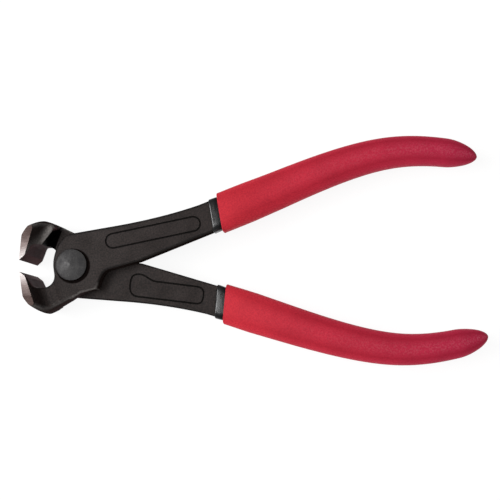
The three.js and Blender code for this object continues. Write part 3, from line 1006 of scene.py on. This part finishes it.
@dataclass
class Lever:
    """Forged lever: joint plate, spread jaw with ground lands and edge, and arm up to the dip coats."""

    handle: Handle
    forged: bpy.types.Material
    bright: bpy.types.Material
    tempered: bpy.types.Material
    groove: bpy.types.Material
    marks: WearAndPaintedLight = WearAndPaintedLight()
    grid: float = 0.26
    box: tuple[tuple[float, ...], ...] = ((-20.8, -18.6, -14.0), (64.6, 18.8, 14.0))
    bore_radius: float = 4.1
    sink_radius: float = 5.4
    sink_depth: float = 1.8
    edge_reach: float = 19.0
    edge_width: float = 25.0
    face_height: float = 9.4
    jaw_crest: tuple[float, float] = (-12.6, -16.9)
    bevel: tuple[float, float] = (-16.7, -2.4)
    blade_root: tuple[float, float] = (-15.5, -5.2)
    throat: tuple[float, float] = (-12.2, -7.0)
    land_width: float = 1.9
    flank_run: float = 5.6
    flank_heading: float = 10.4
    flank_slope: float = -56.0
    flank_foot: float = 5.3
    flank_tail: tuple[tuple[float, float], ...] = ((2.5, -0.8), (6.0, -3.5), (80.0, -60.0))
    back_heading: float = -72.0
    back_reach: float = 12.4
    back_land: float = 8.2
    back_slope: float = -62.0
    back_run_out: tuple[float, float] = (-4.0, 4.0)
    back_release: float = 3.5
    wall_heading: float = 31.9
    wall_reach: float = 14.09
    boss: tuple[float, float] = (1.5, 12.2)
    shoulder: tuple[float, float] = (20.0, 12.2)
    nose: tuple[float, float] = (-7.4, 0.0)
    nose_foot: tuple[float, float] = (-7.4, -2.2)
    saddle: tuple[float, float] = (0.5, -12.0)
    heel: tuple[float, float] = (8.2, -10.9)
    waist: tuple[float, float] = (14.0, -4.2)
    knee: tuple[float, float] = (26.6, -3.0)
    stock: float = 0.7
    arm_run: float = 9.0
    plate_edge: float = 0.8
    lap_edge: float = 0.4
    corner_round: float = 3.0
    corner_depth: tuple[float, float] = (9.0, 11.0)
    corner_level: tuple[float, float] = (-1.5, 0.0)
    land_edge: float = 0.3
    flank_edge: float = 0.55
    crown_edge: float = 1.0
    root_fillet: float = 3.0
    wall_fillet: float = 0.8
    groove_width: float = 0.66
    groove_depth: float = 0.4
    # Reach of the tools that cut the forging: past its faces, left, bottom and top of a wheel, drill from and to
    tool_reach: float = 16.0
    wheel_box: tuple[float, float, float] = (-24.0, -22.0, 4.0)
    drill_span: tuple[float, float] = (-8.0, 7.0)
    land_end: float = -9.0
    bevel_overrun: tuple[float, float] = (0.3, 0.17)
    bevel_run_out: tuple[tuple[float, float], ...] = ((-14.8, -1.2), (-16.5, 3.0), (-20.5, 3.0))
    outer_pill: tuple[float, ...] = (17.5, 6.5, 2.8, 49.4, 7.6, 2.8)
    inner_corners: tuple[tuple[float, float], ...] = (
        (25.7, 1.3), (32.8, 3.65), (48.2, 4.43), (51.66, 7.3), (49.0, 11.05), (26.2, 10.05), (22.5, 5.4),
    )
    inner_headings: tuple[float, ...] = (0, 3, 3, 90, 182.5, 182.5, 270, 360)
    inner_pulls: tuple[float, ...] = (0.42, 0.33, 0.5, 0.5, 0.33, 0.5, 0.5)
    tang_start: float = 5.0
    sharp_angle: float = 34.0

    def outline(self) -> np.ndarray:
        """Plan outline of the forging, with stock left where the edge is ground.

        Returns:
            Corners, counter-clockwise.
        """
        front = -self.edge_reach - self.stock
        blade = np.array(self.bevel) - np.array(self.blade_root)
        over = np.array(self.bevel) + blade * (self.stock - self.bevel[1]) / blade[1]
        neck = np.array(self.handle.neck)
        run = vector(self.handle.neck_heading, self.arm_run)
        across = vector(self.handle.neck_heading + 90, self.handle.neck_width / 2)
        chin = (-self.edge_reach, -self.face_height)
        parts = [
            [(front, self.stock), (front, -self.face_height + self.stock), chin],
            bend(chin, self.jaw_crest, -80, 4, 0.22),
            bend(self.jaw_crest, self.saddle, 4, 24, 0.3),
            bend(self.saddle, self.heel, 24, 3, 0.3),
            bend(self.heel, self.waist, 55, 12, 0.35),
            [self.knee, neck - across, neck - across + run, neck + across + run, neck + across],
            bend(neck + across, self.shoulder, 189, 180, 0.33),
            [self.boss],
            bend(self.boss, self.nose, 180, -90, 0.32),
            [self.nose_foot],
            bend(self.nose_foot, self.throat, -90, 180, 0.43),
            bend(self.throat, self.blade_root, 180, 105, 0.42),
            [over],
        ]
        return np.concatenate([np.asarray(part, float) for part in parts])

    def field(self) -> Field:
        """Signed distances of the forging before it is ground and drilled.

        Returns:
            The field over the jaw, the joint and the bare arm.
        """
        low, high = np.array(self.box)
        x, y, z = (np.arange(a, b, self.grid) for a, b in zip(low, high))
        flat_x, flat_y = np.meshgrid(x, y, indexing="ij")
        plan = plan_distance(self.outline(), flat_x, flat_y)[:, :, None]
        level = np.abs(z)[None, None, :]
        half_edge = self.edge_width / 2

        land = np.array([-self.edge_reach + self.land_width, half_edge])
        foot = np.array([land[0] + self.flank_run, self.flank_foot])
        fall = bend(land, foot, self.flank_slope, 0, 0.4)
        under = foot + np.array(self.flank_tail)
        flank = np.concatenate([[land - vector(self.flank_slope, 4.0)], [land], fall, under])
        run = along_heading(self.flank_heading, flat_x, flat_y)
        slope = np.gradient(flank[:, 1], flank[:, 0])
        ease = 1 / np.sqrt(1 + np.interp(run, flank[:, 0], slope) ** 2)
        beside = (level - np.interp(run, flank[:, 0], flank[:, 1])[:, :, None]) * ease[:, :, None]

        side = (self.back_land, half_edge)
        crown = np.concatenate([[side], bend(side, (self.back_reach, 0), self.back_slope, -90, 0.33)])[::-1]
        limit = np.interp(np.abs(z), crown[:, 1], crown[:, 0])
        lean = np.interp(np.abs(z), crown[:, 1], np.gradient(crown[:, 0], crown[:, 1]))
        back = along_heading(self.back_heading, flat_x, flat_y)
        past = (back[:, :, None] - limit) / np.sqrt(1 + lean**2)
        past = past - self.back_release * smooth_step(flat_x, *self.back_run_out)[:, :, None]

        spread = blend_max(beside, level - half_edge - self.stock, self.land_edge)
        top = blend_min(level - self.handle.outer_face, spread, self.root_fillet)
        edge = self.flank_edge + (self.plate_edge - self.flank_edge) * smooth_step(run, foot[0] - 3, foot[0] + 2)
        solid = blend_max(blend_max(plan, top, edge[:, :, None]), past, self.crown_edge)
        wall = along_heading(self.wall_heading, flat_x, flat_y)[:, :, None] + self.wall_reach
        lap = blend_max(-wall, (z - self.handle.lap_face)[None, None, :], self.wall_fillet)
        # The upright corner where the lap's wall runs out at the jaw's back is rounded off, and no other
        corner = blend_max(np.maximum(plan, past), wall, self.corner_round)
        other = (1 - smooth_step(-flat_y, *self.corner_depth))[:, :, None]
        other = other + smooth_step(z, *self.corner_level)[None, None, :]
        cut = np.maximum(blend_max(solid, -lap, self.lap_edge), corner - FAR * other)
        return Field(cut, low, self.grid)

    def wear_and_painted_light(self, points: np.ndarray, facing: np.ndarray, turn: np.ndarray) -> dict[str, np.ndarray]:
        """What use has done to the finish at given points, and the light and shade painted on it.

        Args:
            points: Places on the lever.
            facing: Directions that the skin faces there.
            turn: How sharply the skin turns there.

        Returns:
            The turn itself, the share of black rubbed off with a painted highlight on the heel's edge and on the
            shoulder that the other half slides past, the share of heat tint with painted bounce light on the jaw's
            upright walls, mostly the inner ones, and of painted shade at the foot of the lap's wall, on the steep
            flanks and round the rivet.
        """
        marks, (x, y, z) = self.marks, points.T
        wall = along_heading(self.wall_heading, x, y) + self.wall_reach
        # Rubbed black with a painted highlight on the heel's edge
        heel = smooth_step(turn, *marks.heel_turn) * smooth_step(-y, *marks.heel_depth)
        heel = heel * (1 - smooth_step(x, *marks.heel_end))
        # Rubbed black with a painted highlight on the shoulder that the other half slides past
        shoulder = (z < marks.slide_level) * smooth_step(wall, *marks.slide_start)
        shoulder = shoulder * (1 - smooth_step(wall, *marks.slide_end))
        # Painted shadow at the foot of the lap's wall
        along = y * vector(self.wall_heading)[0] - x * vector(self.wall_heading)[1]
        far = wall - marks.foot_spread * (along + marks.foot_turn)
        lap = (z < self.handle.lap_face + marks.foot_height) * smooth_step(wall, *marks.foot_start)
        lap = lap * (1 - smooth_step(far, *marks.foot_end)) * smooth_step(along, *marks.foot_side)
        # Heat tint with painted bounce light on the jaw's upright walls, less on the outer ones
        upright = 1 - smooth_step(np.abs(facing[:, 2]), *marks.upright)
        inner = 1 - marks.outer_clean * smooth_step(-facing[:, 1], *marks.outer_facing)
        throat = upright * (1 - smooth_step(x, *marks.throat_end)) * inner
        # Painted shade on the steep flanks
        steep = facing[:, :2] @ vector(self.flank_heading)
        flank = (1 - upright) * smooth_step(steep, *marks.flank_lean) * smooth_step(-x, *marks.flank_start)
        # Painted shadow of the rivet's head round it
        round_rivet = np.hypot(x - marks.ring_middle[0], y - marks.ring_middle[1])
        ring = (z > self.handle.outer_face - marks.ring_height) * (1 - smooth_step(round_rivet, *marks.ring_reach))
        grime = np.maximum.reduce([lap, marks.flank_shade_share * flank, marks.ring_shade_share * ring])
        rub = np.maximum(marks.heel_rub_and_highlight * heel, shoulder)
        return {"edge": np.clip(turn, -2, 2), "rub": rub, "scorch": throat, "grime": grime}

    def outer_frame(self) -> np.ndarray:
        """Line of the bare frame on the outer face: a plain long round-ended shape."""
        x0, y0, r0, x1, y1, r1 = self.outer_pill
        start, end = np.array([x0, y0]), np.array([x1, y1])
        ahead = end - start
        heading = math.atan2(ahead[1], ahead[0])
        spread = math.acos((r0 - r1) / np.linalg.norm(ahead))
        first = np.linspace(heading - spread, heading + spread, 28)
        second = np.linspace(heading + spread, heading + 2 * math.pi - spread, 28)
        return np.concatenate(
            [
                end + r1 * np.stack([np.cos(first), np.sin(first)], 1),
                start + r0 * np.stack([np.cos(second), np.sin(second)], 1),
            ]
        )

    def inner_frame(self) -> np.ndarray:
        """Line of the bare frame on the lap side: a round lobe that runs out into a narrower bar."""
        corners, turns = [*self.inner_corners, self.inner_corners[0]], self.inner_headings
        return np.concatenate([
            bend(corners[leg], corners[leg + 1], turns[leg], turns[leg + 1], pull)
            for leg, pull in enumerate(self.inner_pulls)
        ])

    def frame_cutter(self, name: str, line: np.ndarray, face: float, way: float) -> bpy.types.Object:
        """Cutter for the round-bottomed groove of a bare frame on the arm.

        Args:
            name: Name of the cutter.
            line: Closed line of the frame, counter-clockwise.
            face: Height of the face that it is sunk into.
            way: 1 if the face looks along +Z, -1 along -Z.

        Returns:
            The cutter.
        """
        ahead = np.roll(line, -1, axis=0) - np.roll(line, 1, axis=0)
        aside = np.stack([ahead[:, 1], -ahead[:, 0]], 1) / np.linalg.norm(ahead, axis=1)[:, None]
        half, deep = self.groove_width / 2, self.groove_depth
        profile = (
            (half, deep), (half, 0.0), (0.75 * half, -0.75 * deep), (0.35 * half, -deep),
            (-0.35 * half, -deep), (-0.75 * half, -0.75 * deep), (-half, 0.0), (-half, deep),
        )
        loops = []
        for margin, level in profile:
            flat = line + margin * aside
            loops.append(np.column_stack([flat, np.full(len(flat), face + way * level)]))
        return self.cutter(rings(name, loops, closed=True), self.groove)

    def cutter(self, mesh: bpy.types.Mesh, finish: bpy.types.Material) -> bpy.types.Object:
        """Tool object that leaves a given finish on what it cuts."""
        mesh.materials.append(finish)
        return new_object(mesh.name, mesh)

    def cutters(self, countersunk: bool) -> list[bpy.types.Object]:
        """Tools that grind and drill the forging.

        Args:
            countersunk: Whether the outer face takes the rivet's tail.

        Returns:
            The tools, in the order of work.
        """
        edge, half, clear = np.array([-self.edge_reach, 0.0]), self.edge_width / 2, self.tool_reach
        slant = np.array(self.bevel) - edge
        before, after = self.bevel_overrun
        bevel = [edge - before * slant, np.array(self.bevel) + after * slant, *self.bevel_run_out]
        left, bottom, top = self.wheel_box
        front, side = (
            [(left, top), (left, bottom), (end, bottom), (end, top)] for end in (edge[0], self.land_end)
        )
        tools = [
            self.cutter(prism(name, plan, low, high), finish)
            for name, plan, low, high, finish in (
                ("front_wheel", front, -clear, clear, self.bright),
                ("upper_land_wheel", side, half, clear, self.bright),
                ("lower_land_wheel", side, -clear, -half, self.bright),
                ("bevel_wheel", bevel, -clear, clear, self.tempered),
            )
        ]
        face, bore = self.handle.outer_face, self.bore_radius
        under, over = self.drill_span
        hole = [(0.0, under), (bore, under)]
        if countersunk:
            rake = (self.sink_radius - bore) / self.sink_depth
            hole += [(bore, face - self.sink_depth), (self.sink_radius + rake * (over - face), over)]
        else:
            hole += [(bore, over)]
        hole.append((0.0, over))
        tools.append(self.cutter(turned("drill", hole, 96), self.forged))
        tools.append(self.frame_cutter("outer_frame", self.outer_frame(), face, 1.0))
        tools.append(self.frame_cutter("inner_frame", self.inner_frame(), self.handle.lap_face, -1.0))
        return tools

    def tang(self, sleeve: Sleeve) -> bpy.types.Mesh:
        """Steel core inside the grip.

        Args:
            sleeve: Sweeper along the handle line.

        Returns:
            Closed mesh of the core, from under the undercoat on.
        """
        start, end = self.tang_start, self.handle.core_end
        distance = np.concatenate([[start], np.linspace(start, end, 60), [end]])
        stations = {"distance": distance, **self.handle.section(distance, np.zeros(len(distance)))}
        closing = np.ones(len(distance))
        closing[[0, -1]] = 0.0
        stations["half_width"] = stations["half_width"] * closing
        stations["half_thickness"] = stations["half_thickness"] * closing
        stations["skew"] = np.zeros(len(distance))
        return sleeve.sweep("core", stations, 48, self.forged)

    def build(self, joint: Joint, sleeve: Sleeve, half: Half) -> bpy.types.Object:
        """Forges, grinds and drills the lever and puts it into its half.

        Args:
            joint: Joint that places the half.
            sleeve: Sweeper along the handle line.
            half: Half of the tool.

        Returns:
            The piece.
        """
        forging = self.field()
        points, faces = forging.skin()
        mesh = new_mesh("forging", points, faces)
        mesh.materials.append(self.forged)
        blank = new_object("forging", mesh)
        core = new_object("core", self.tang(sleeve))
        tools = self.cutters(countersunk=half is Half.REAR)
        for operation, tool in [("UNION", core)] + [("DIFFERENCE", tool) for tool in tools]:
            modifier = blank.modifiers.new(tool.name, "BOOLEAN")
            modifier.operation = operation
            modifier.solver = "MANIFOLD"
            modifier.material_mode = "TRANSFER"
            modifier.object = tool
        done = baked(blank, "lever")
        for tool in [core, *tools]:
            bpy.data.objects.remove(tool)
        places, facing = np.empty((2, len(done.vertices), 3))
        done.vertices.foreach_get("co", places.ravel())
        done.vertices.foreach_get("normal", facing.ravel())
        wear_and_painted_light = self.wear_and_painted_light(places, facing, forging.curvature(places))
        for name, share in wear_and_painted_light.items():
            done.attributes.new(name, "FLOAT", "POINT").data.foreach_set("value", share.astype(np.float32))
        done.shade_smooth()
        done.set_sharp_from_angle(angle=math.radians(self.sharp_angle))
        return joint.place(done, half.node("forging"), half, Slot.FORGED_STEEL, half.node("lever"))


@dataclass
class DipCoats:
    """The two coats that a handle was dipped into: a thin black undercoat and a thick red grip."""

    handle: Handle
    black: bpy.types.Material
    red: bpy.types.Material
    undercoat_line: float = 56.6
    undercoat_wall: float = 0.55
    undercoat_lip: float = 0.6
    undercoat_bite: float = 0.6
    lip_steps: int = 12
    grip_line: float = 60.2
    grip_mouth_wall: float = 0.9
    grip_wall: float = 2.0
    grip_dome: float = 12.0
    grip_point: float = 1.75
    grip_inset: float = 0.08
    grip_lip: float = 0.6
    coat_gap: float = 0.15
    undercoat_squareness: float = 4.6
    mouth_squareness: float = 4.0
    grip_squareness: float = 2.6
    skew_run: float = 22.0

    def skew(self, distance: np.ndarray, mouth: float) -> np.ndarray:
        """Lean of the stations that turns a coat's mouth square to the tool, fading along the handle."""
        lean = math.tan(math.radians(self.handle.neck_heading))
        return lean * (1 - smooth_step(distance, mouth, mouth + self.skew_run))

    def lip(self, mouth: float, low: float, high: float, depth: float) -> tuple[np.ndarray, np.ndarray]:
        """Round lip of a coat from its inner to its outer skin.

        Args:
            mouth: Distance along the handle at which the lip starts.
            low: Thickness over the core at the inner skin.
            high: Thickness over the core at the outer skin.
            depth: How far the rounding reaches along the handle.

        Returns:
            Distances and thicknesses of the lip's stations.
        """
        angle = np.linspace(-math.pi / 2, math.pi / 2, self.lip_steps)
        return mouth + depth * (1 - np.cos(angle)), (low + high) / 2 + (high - low) / 2 * np.sin(angle)

    def undercoat(self, sleeve: Sleeve) -> bpy.types.Mesh:
        """Black coat: hugs the arm at its mouth, then lies on the core to its end.

        Args:
            sleeve: Sweeper along the handle line.

        Returns:
            Closed mesh in a lever's millimetres.
        """
        mouth = self.handle.distance_at(self.undercoat_line)
        inner_end = self.handle.core_end + self.coat_gap
        outer_end = inner_end + self.undercoat_wall
        outer = self.coat_gap + self.undercoat_wall
        hollow = np.concatenate([[inner_end], np.linspace(inner_end, mouth + 2.5, 30)])
        inside = np.concatenate([hollow, [mouth + 1.2, mouth + 0.6]])
        inside_growth = np.concatenate([np.full(len(hollow), self.coat_gap), [-0.4, -self.undercoat_bite]])
        collar = np.linspace(mouth + 0.7, mouth + 8, 20)
        outside = np.concatenate([collar, np.linspace(mouth + 9, outer_end, 60), [outer_end]])
        skins = (
            (inside, inside_growth),
            self.lip(mouth, -self.undercoat_bite, outer, self.undercoat_lip),
            (outside, np.full(len(outside), outer)),
        )
        return self.coat("undercoat", sleeve, self.black, mouth, skins, self.undercoat_squareness, 80)

    def grip(self, sleeve: Sleeve) -> bpy.types.Mesh:
        """Red coat: round lip, wall that thickens away from the mouth, domed end.

        Args:
            sleeve: Sweeper along the handle line.

        Returns:
            Closed mesh in a lever's millimetres.
        """
        mouth = self.handle.distance_at(self.grip_line)
        hollow = 2 * self.coat_gap + self.undercoat_wall
        inner_end = self.handle.core_end + hollow
        dome_start = self.handle.length - self.grip_dome
        into_dome = np.sin(np.linspace(0, math.pi / 2, 22)[1:])
        dome = dome_start + (self.grip_dome - self.grip_inset) * into_dome
        inside = np.concatenate([[inner_end], np.linspace(inner_end, mouth + 1.5, 40), [mouth + 0.9]])
        outside = np.concatenate([np.linspace(mouth + 0.9, dome_start, 110), dome])
        mouth_wall = self.wall(np.array([mouth]))[0]
        skins = (
            (inside, np.full(len(inside), hollow)),
            self.lip(mouth, hollow, hollow + mouth_wall, self.grip_lip),
            (outside, hollow + self.wall(outside) - self.grip_inset),
        )
        narrowing = np.maximum(1 - into_dome**self.grip_point, 0) ** (1 / self.grip_point)
        return self.coat("grip", sleeve, self.red, mouth, skins, self.mouth_squareness, 112, narrowing)

    def wall(self, distance: np.ndarray) -> np.ndarray:
        """Wall of the red coat along the handle."""
        mix = smooth_step(distance, 0, self.handle.core_blend)
        return self.grip_mouth_wall + (self.grip_wall - self.grip_mouth_wall) * mix

    def coat(
        self,
        name: str,
        sleeve: Sleeve,
        finish: bpy.types.Material,
        mouth: float,
        skins: Sequence[tuple[np.ndarray, np.ndarray]],
        squareness: float,
        around: int,
        narrowing: Sequence[float] = (),
    ) -> bpy.types.Mesh:
        """Sweeps one coat from the far end of its hollow, round its lip, to its outer end.

        Args:
            name: Name of the mesh.
            sleeve: Sweeper along the handle line.
            finish: Material of the coat.
            mouth: Distance of the coat's mouth.
            skins: Distances of the stations and thickness over the core, for the hollow, the lip and the outside.
            squareness: Squareness of the outside at the neck.
            around: Points around each station.
            narrowing: Scale of the last stations, for a domed end.

        Returns:
            Closed mesh in a lever's millimetres.
        """
        distance, growth = (np.concatenate(values) for values in zip(*skins))
        stations = {"distance": distance, **self.handle.section(distance, growth)}
        scale = np.ones(len(distance))
        scale[len(scale) - len(narrowing) :] = narrowing
        scale[[0, -1]] = 0.0
        stations["half_width"] = stations["half_width"] * scale
        stations["half_thickness"] = stations["half_thickness"] * scale
        stations["skew"] = self.skew(distance, mouth)
        stations["past_mouth"] = distance - mouth
        # The hollow follows the core's section; round the lip it turns into the outside's rounder one
        mix = smooth_step(distance, 0, self.handle.core_blend)
        rounder = squareness + (self.grip_squareness - squareness) * mix
        share = np.clip((np.arange(len(distance)) - len(skins[0][0])) / (self.lip_steps - 1), 0, 1)
        stations["squareness"] = stations["squareness"] * (1 - share) + rounder * share
        return sleeve.sweep(name, stations, around, finish)

    def build(self, joint: Joint, sleeve: Sleeve, half: Half) -> list[bpy.types.Object]:
        """Makes both coats of a half.

        Args:
            joint: Joint that places the half.
            sleeve: Sweeper along the handle line.
            half: Half of the tool.

        Returns:
            Undercoat and grip.
        """
        coats = (
            (self.undercoat, "black_dip", Slot.BLACK_COAT, "undercoat"),
            (self.grip, "red_dip", Slot.RED_COAT, "grip"),
        )
        return [
            joint.place(dip(sleeve), half.node(name), half, slot, half.node(node))
            for dip, name, slot, node in coats
        ]


@dataclass
class Rivet:
    """Headed rivet with a shallow peened crown, a shank and a tail spread flush at the back."""

    finish: bpy.types.Material
    face: float = 6.0
    seat_gap: float = 0.1
    head_radius: float = 6.05
    head_height: float = 2.9
    head_rim: float = 0.7
    rim_round: float = 0.35
    shank_radius: float = 4.0
    tail_radius: float = 5.3
    tail_depth: float = 1.8
    # Radius of points on the dished tail, and how far in they lie
    tail_dish: tuple[tuple[float, float], ...] = ((0.0, 0.12), (2.6, 0.06), (3.4, 0.0))
    tail_edge: tuple[float, float] = (0.12, 0.1)
    peak_share: float = 0.8
    around: int = 128
    sharp_angle: float = 40.0

    def profile(self) -> list[tuple[float, float]]:
        """Radius and height from the middle of the tail to the crown."""
        seat, tail = self.face + self.seat_gap, -self.face
        foot = seat + self.head_rim
        points = [(radius, tail + depth) for radius, depth in self.tail_dish]
        points += [(self.tail_radius - self.tail_edge[0], tail), (self.tail_radius, tail + self.tail_edge[1])]
        points += [(self.shank_radius, tail + self.tail_depth), (self.shank_radius, seat)]
        points += [(self.head_radius - self.rim_round, seat), (self.head_radius, seat + self.rim_round)]
        for angle in np.linspace(0, math.pi / 2, 26)[:-1]:
            radius = self.head_radius * math.cos(angle)
            dome, cone = math.sin(angle), 1 - math.cos(angle)
            rise = (1 - self.peak_share) * dome + self.peak_share * cone
            points.append((radius, foot + (self.head_height - self.head_rim) * rise))
        return points + [(0.0, seat + self.head_height)]

    def build(self, joint: Joint) -> bpy.types.Object:
        """Turns the rivet and puts it into the front half."""
        mesh = turned("rivet", self.profile(), self.around)
        mesh.materials.append(self.finish)
        mesh.shade_smooth()
        mesh.set_sharp_from_angle(angle=math.radians(self.sharp_angle))
        return joint.place(mesh, "peened_rivet", Half.FRONT, Slot.RIVET_STEEL, "pivot_rivet")


@dataclass
class Studio:
    """White paper, soft lamps and the camera at the photograph's angle."""

    floor_half: float = 3.0
    lens: float = 80.87
    camera_place: tuple[float, float, float] = (0.11035, -0.04506, 0.43685)
    camera_aim: tuple[float, float, float] = (0.069184, 0.002939, 0.005979)
    camera_up: tuple[float, float, float] = (0.05052, 0.99307, 0.10625)
    ambient: float = 0.36
    # Place, side and power of each lamp, in metres and watts
    lamps: tuple[tuple[str, tuple[float, float, float], float, float], ...] = (
        ("key_window", (-0.44, 0.08, 0.72), 0.50, 5.2),
        ("fill_card", (0.10, -0.55, 0.22), 0.40, 0.3),
        ("collar_card", (0.01, -0.03, 0.62), 0.13, 0.42),
    )

    def build_floor(self, finish: bpy.types.Material) -> None:
        """Lays the paper at the lowest point of the tool."""
        low, far = CAD_BOX[0].z, self.floor_half
        corners = np.array([(-far, -far, low), (far, -far, low), (far, far, low), (-far, far, low)])
        mesh = new_mesh("paper", corners, [(0, 1, 2, 3)])
        mesh.materials.append(finish)
        new_object("paper", mesh)

    def build_camera(self) -> None:
        """Sets the camera up."""
        data = bpy.data.cameras.new("camera")
        data.lens = self.lens
        data.sensor_width = 36.0
        data.clip_start, data.clip_end = 0.01, 50.0
        camera = new_object("camera", data)
        place = Vector(self.camera_place)
        back = (place - Vector(self.camera_aim)).normalized()
        right = Vector(self.camera_up).cross(back).normalized()
        up = back.cross(right)
        turn = Matrix((right, up, back)).transposed()
        camera.matrix_world = Matrix.Translation(place) @ turn.to_4x4()
        bpy.context.scene.camera = camera

    def build_lamps(self) -> None:
        """Hangs the lamps, aimed at the middle of the tool."""
        middle = (CAD_BOX[0] + CAD_BOX[1]) / 2
        for name, place, side, power in self.lamps:
            data = bpy.data.lights.new(name, "AREA")
            data.shape = "SQUARE"
            data.size = side
            data.energy = power
            lamp = new_object(name, data)
            lamp.location = place
            lamp.rotation_mode = "QUATERNION"
            lamp.rotation_quaternion = (middle - Vector(place)).to_track_quat("-Z", "Y")

    def build_world(self) -> None:
        """Even light from all round; the walls are white where the camera, metal or gloss sees them."""
        world = bpy.data.worlds.new("studio")
        bpy.context.scene.world = world
        world.use_nodes = True
        tree = world.node_tree
        tree.nodes.clear()
        way = add(tree, "ShaderNodeTexCoord").outputs["Generated"]
        height = add(tree, "ShaderNodeSeparateXYZ", {0: way}).outputs["Z"]
        walls = add(tree, "ShaderNodeMapRange", {0: height, 1: 0.55, 2: 0.15})
        white = add(tree, "ShaderNodeMath", {0: looked_at(tree), 1: walls}, operation="MULTIPLY")
        strength = add(tree, "ShaderNodeMapRange", {0: white, 3: self.ambient, 4: 1.0})
        light = add(tree, "ShaderNodeBackground", {"Color": (1, 1, 1, 1), "Strength": strength})
        add(tree, "ShaderNodeOutputWorld", {"Surface": light})

    def build(self, finish: bpy.types.Material) -> None:
        """Builds the whole studio."""
        self.build_floor(finish)
        self.build_camera()
        self.build_lamps()
        self.build_world()
        bpy.context.scene.view_settings.view_transform = "Standard"


def main() -> None:
    """Builds the studio and the tool."""
    logging.basicConfig(level=logging.INFO, format="%(name)s: %(message)s")
    Studio().build(WhitePaper().make())
    forged = ForgedSteel().make()
    # Darker steel for the frames' grooves
    groove = ForgedSteel("oily_groove_steel", "#12100f", "#0e0c0b", shine=0.05).make()
    bright = GroundSteel("ground_edge_steel", "#918c8b", "#574e4c", "#312826", near_mm=2.0, far_mm=12.0).make()
    tempered = GroundSteel(
        "tempered_bevel_steel", "#4a4041", "#403536", "#352b2c",
        near_mm=0.0, far_mm=8.0, roughness=0.45, slant="#b8aeae",
    ).make()
    joint, handle = Joint(), Handle()
    sleeve = Sleeve(handle)
    lever = Lever(handle, forged, bright, tempered, groove)
    coats = DipCoats(handle, BlackVinyl().make(), RedVinyl().make())
    for half in Half:
        lever.build(joint, sleeve, half)
        coats.build(joint, sleeve, half)
    Rivet(RivetSteel().make()).build(joint)


if __name__ == "__main__":
    main()
